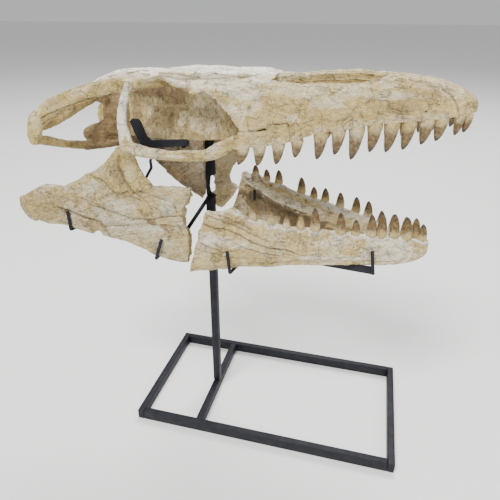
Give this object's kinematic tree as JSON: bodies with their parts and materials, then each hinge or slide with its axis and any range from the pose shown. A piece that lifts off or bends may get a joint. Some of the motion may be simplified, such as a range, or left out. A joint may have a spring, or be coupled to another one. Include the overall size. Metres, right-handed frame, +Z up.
{
  "type": "mosasaur skull fossil on a display stand",
  "caption": "Fossil skull of a large marine lizard, jaws agape with conical teeth, held by clips and rods on a post that rises from a rectangular steel frame.",
  "frame": {"origin": "on the floor directly under the centre of the stand's post", "axes": "+X towards the tip of the snout, +Z up, -Y towards the skull's right side"},
  "size_m": [1.062, 0.3825, 0.9594],
  "materials": {
    "premaxilla_bone": "matt fossil bone",
    "maxilla_bone": "matt fossil bone",
    "palate_bone": "matt fossil bone",
    "frontal_bone": "matt fossil bone",
    "parietal_bone": "matt fossil bone",
    "braincase_bone": "matt fossil bone",
    "orbit_wall_matrix": "matt brown matrix",
    "prefrontal_bone": "matt fossil bone",
    "cheek_bone": "matt fossil bone",
    "jugal_bone": "matt fossil bone",
    "postorbital_plaster": "matt restoration plaster",
    "supratemporal_bone": "matt fossil bone",
    "opisthotic_bone": "matt fossil bone",
    "pterygoid_bone": "matt fossil bone",
    "dentary_bone": "matt fossil bone",
    "surangular_bone": "matt fossil bone",
    "articular_bone": "matt fossil bone",
    "angular_bone": "matt fossil bone",
    "coronoid_bone": "matt fossil bone",
    "blackened_steel": "matt black paint over steel"
  },
  "bodies": {
    "root": {"angular_right": "angular_bone", "articular_right": "articular_bone", "braincase": "braincase_bone", "coronoid_right": "coronoid_bone", "dentary_left": "dentary_bone", "dentary_right": "dentary_bone", "frontal": "frontal_bone", "jugal_left": "jugal_bone", "jugal_right": "jugal_bone", "maxilla_left": "maxilla_bone", "maxilla_right": "maxilla_bone", "opisthotic_left": "opisthotic_bone", "opisthotic_right": "opisthotic_bone", "orbit_wall": "orbit_wall_matrix", "parietal": "parietal_bone", "postorbital_bar_left": "postorbital_plaster", "postorbital_bar_right": "postorbital_plaster", "postorbitofrontal_left": "cheek_bone", "postorbitofrontal_right": "cheek_bone", "prefrontal_left": "prefrontal_bone", "prefrontal_right": "prefrontal_bone", "premaxilla": "premaxilla_bone", "pterygoid_left": "pterygoid_bone", "pterygoid_right": "pterygoid_bone", "squamosal_left": "cheek_bone", "squamosal_right": "cheek_bone", "stand_arm": "blackened_steel", "stand_arm_link": "blackened_steel", "stand_clip_angular": "blackened_steel", "stand_clip_articular": "blackened_steel", "stand_clip_coronoid": "blackened_steel", "stand_clip_dentary_front": "blackened_steel", "stand_clip_dentary_left": "blackened_steel", "stand_clip_dentary_rear": "blackened_steel", "stand_jaw_bar": "blackened_steel", "stand_jaw_rod": "blackened_steel", "stand_neck": "blackened_steel", "stand_post": "blackened_steel", "stand_rail_back": "blackened_steel", "stand_rail_cross": "blackened_steel", "stand_rail_front": "blackened_steel", "stand_rail_left": "blackened_steel", "stand_rail_right": "blackened_steel", "stand_strut_dentary_left": "blackened_steel", "stand_strut_rear": "blackened_steel", "supratemporal_left": "supratemporal_bone", "supratemporal_right": "supratemporal_bone", "surangular_right": "surangular_bone", "vomer": "palate_bone"}
  },
  "joints": []
}
